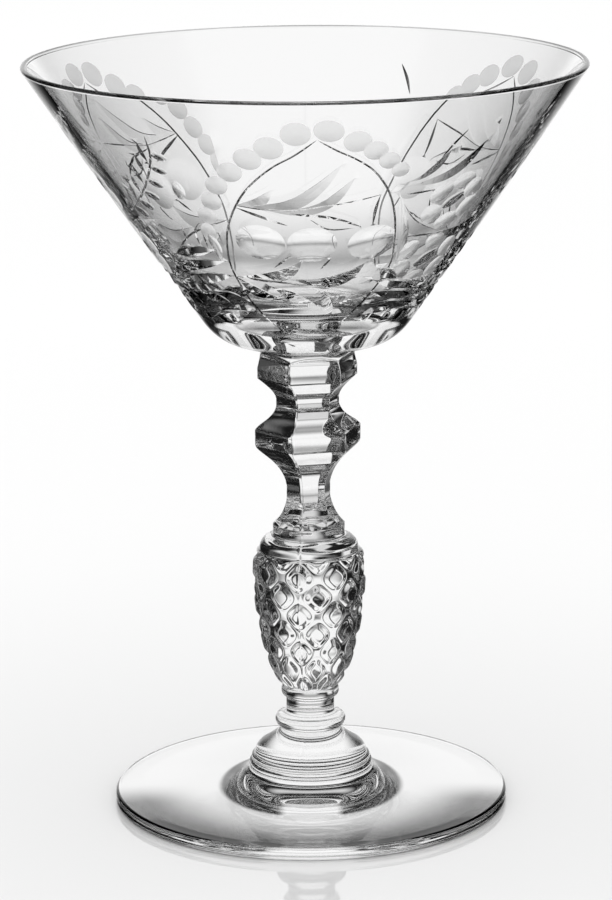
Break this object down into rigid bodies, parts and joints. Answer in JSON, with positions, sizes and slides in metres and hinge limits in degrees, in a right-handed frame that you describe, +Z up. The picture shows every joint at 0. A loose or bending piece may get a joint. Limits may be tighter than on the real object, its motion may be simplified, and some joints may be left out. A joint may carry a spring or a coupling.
{
  "type": "sherbet glass",
  "caption": "Tall stemmed sherbet glass in clear cut crystal, with a conical bowl, a faceted and lozenge-covered stem, and a round foot that it stands on.",
  "frame": {"origin": "centre of the face that the foot rests on", "axes": "+Z up along the glass's own axis, -Y towards the front of the cutting, +X to its right"},
  "size_m": [0.1074, 0.1074, 0.146],
  "materials": {
    "bowl_crystal": "clear polished crystal with matte and polished wheel cutting",
    "stem_crystal": "clear pressed crystal, fire polished",
    "foot_crystal": "clear cast crystal, fire polished"
  },
  "bodies": {
    "root": {"bowl": "bowl_crystal", "stem": "stem_crystal", "foot": "foot_crystal"}
  },
  "joints": []
}
